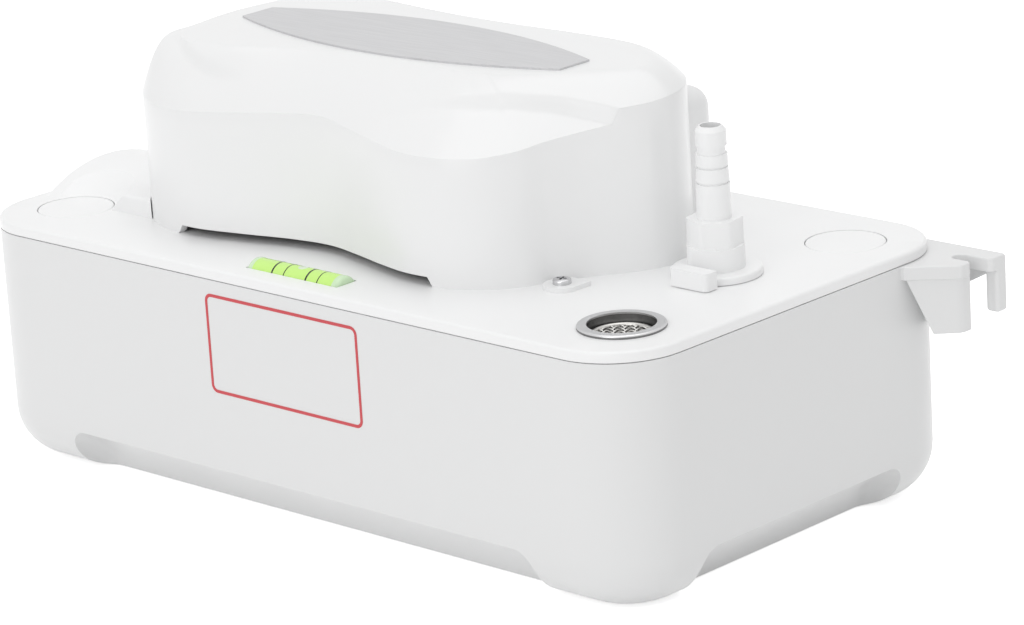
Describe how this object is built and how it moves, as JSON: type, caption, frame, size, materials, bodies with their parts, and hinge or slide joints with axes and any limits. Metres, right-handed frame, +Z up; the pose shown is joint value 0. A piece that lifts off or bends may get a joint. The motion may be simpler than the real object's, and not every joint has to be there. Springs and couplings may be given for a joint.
{
  "type": "condensate pump",
  "caption": "Tank condensate pump: long white reservoir with wall hangers, lift-off lid with motor cover, level vial, screened inlet and barbed outlet.",
  "frame": {"origin": "under the middle of the tank, on the surface that the pump stands on", "axes": "+Z up, +X along the tank towards the outlet and the inlet, +Y towards the wall side"},
  "size_m": [0.316, 0.15, 0.1386],
  "materials": {
    "white_shell": "satin moulded plastic",
    "inner_plastic": "matt moulded plastic",
    "black_plastic": "matt",
    "rubber": "matt",
    "steel": "brushed",
    "laminations": "varnished",
    "copper": "bare",
    "bronze": "sintered",
    "plate": "satin",
    "vial": "clear",
    "liquid": "clear tinted",
    "coil_tape": "taped",
    "float_foam": "blow-moulded"
  },
  "bodies": {
    "tank": {"tank": "white_shell"},
    "rotor": {"motor_shaft": "steel", "rotor_core": "laminations", "cooling_fan": "black_plastic", "impeller": "black_plastic"},
    "run_float": {"run_float": "float_foam", "run_float_arm": "inner_plastic"},
    "run_push_rod": {"run_push_rod": "inner_plastic"},
    "alarm_float": {"alarm_float": "float_foam", "alarm_float_arm": "inner_plastic"},
    "alarm_push_rod": {"alarm_push_rod": "inner_plastic"},
    "outlet": {"outlet_collar": "white_shell", "outlet_o_ring": "rubber", "hose_adapter": "white_shell"},
    "check_ball": {"check_ball": "rubber"},
    "strainer": {"inlet_strainer": "steel"},
    "plug_front_left": {"port_plug_front_left": "white_shell"},
    "plug_back_left": {"port_plug_back_left": "white_shell"},
    "plug_back_right": {"port_plug_back_right": "white_shell"},
    "head": {"tank_lid": "white_shell", "lid_gasket": "rubber", "level_vial": "vial", "vial_liquid": "liquid", "inlet_ring": "steel", "motor_cover": "white_shell", "cover_screws": "steel", "cord_grommet": "rubber", "name_plate": "plate", "stator_core": "laminations", "motor_coil": "coil_tape", "shading_rings": "copper", "lower_bearing_bracket": "steel", "upper_bearing_bracket": "steel", "lower_bearing": "bronze", "upper_bearing": "bronze", "motor_bolts": "steel", "pump_column": "inner_plastic", "volute_casing": "inner_plastic", "suction_cover": "inner_plastic", "discharge_tube": "inner_plastic", "run_float_pin": "steel", "run_switch": "black_plastic", "run_switch_bracket": "steel", "alarm_float_pin": "steel", "alarm_switch": "black_plastic", "alarm_switch_bracket": "steel"}
  },
  "joints": [
    {"name": "head_lift", "type": "slide", "parent": "tank", "child": "head", "axis": [0, 0, 1], "range_m": [0, 0.11]},
    {"name": "motor_spin", "type": "hinge", "parent": "head", "child": "rotor", "pos_m": [0.012, -0.002, 0.1], "axis": [0, 0, 1], "continuous": true},
    {"name": "run_float_swing", "type": "hinge", "parent": "head", "child": "run_float", "pos_m": [-0.046, -0.002, 0.06], "axis": [0, 1, 0], "range_deg": [0, 20]},
    {"name": "run_rod_slide", "type": "slide", "parent": "head", "child": "run_push_rod", "axis": [0, 0, 1], "range_m": [0, 0.006]},
    {"name": "alarm_float_swing", "type": "hinge", "parent": "head", "child": "alarm_float", "pos_m": [0.03, 0.034, 0.06], "axis": [0, -1, 0], "range_deg": [0, 12]},
    {"name": "alarm_rod_slide", "type": "slide", "parent": "head", "child": "alarm_push_rod", "axis": [0, 0, 1], "range_m": [0, 0.0036]},
    {"name": "outlet_twist", "type": "hinge", "parent": "head", "child": "outlet", "pos_m": [0.106, 0.004, 0.08], "axis": [0, 0, 1], "range_deg": [0, 45]},
    {"name": "check_ball_lift", "type": "slide", "parent": "outlet", "child": "check_ball", "axis": [0, 0, 1], "range_m": [0, 0.004]},
    {"name": "strainer_lift", "type": "slide", "parent": "head", "child": "strainer", "axis": [0, 0, 1], "range_m": [0, 0.03]},
    {"name": "plug_front_left_pull", "type": "slide", "parent": "head", "child": "plug_front_left", "axis": [0, 0, 1], "range_m": [0, 0.015]},
    {"name": "plug_back_left_pull", "type": "slide", "parent": "head", "child": "plug_back_left", "axis": [0, 0, 1], "range_m": [0, 0.015]},
    {"name": "plug_back_right_pull", "type": "slide", "parent": "head", "child": "plug_back_right", "axis": [0, 0, 1], "range_m": [0, 0.015]}
  ],
  "couplings": [
    {"joint": "run_rod_slide", "follows": "run_float_swing", "m_per_rad": 0.0165},
    {"joint": "alarm_rod_slide", "follows": "alarm_float_swing", "m_per_rad": 0.0165}
  ]
}
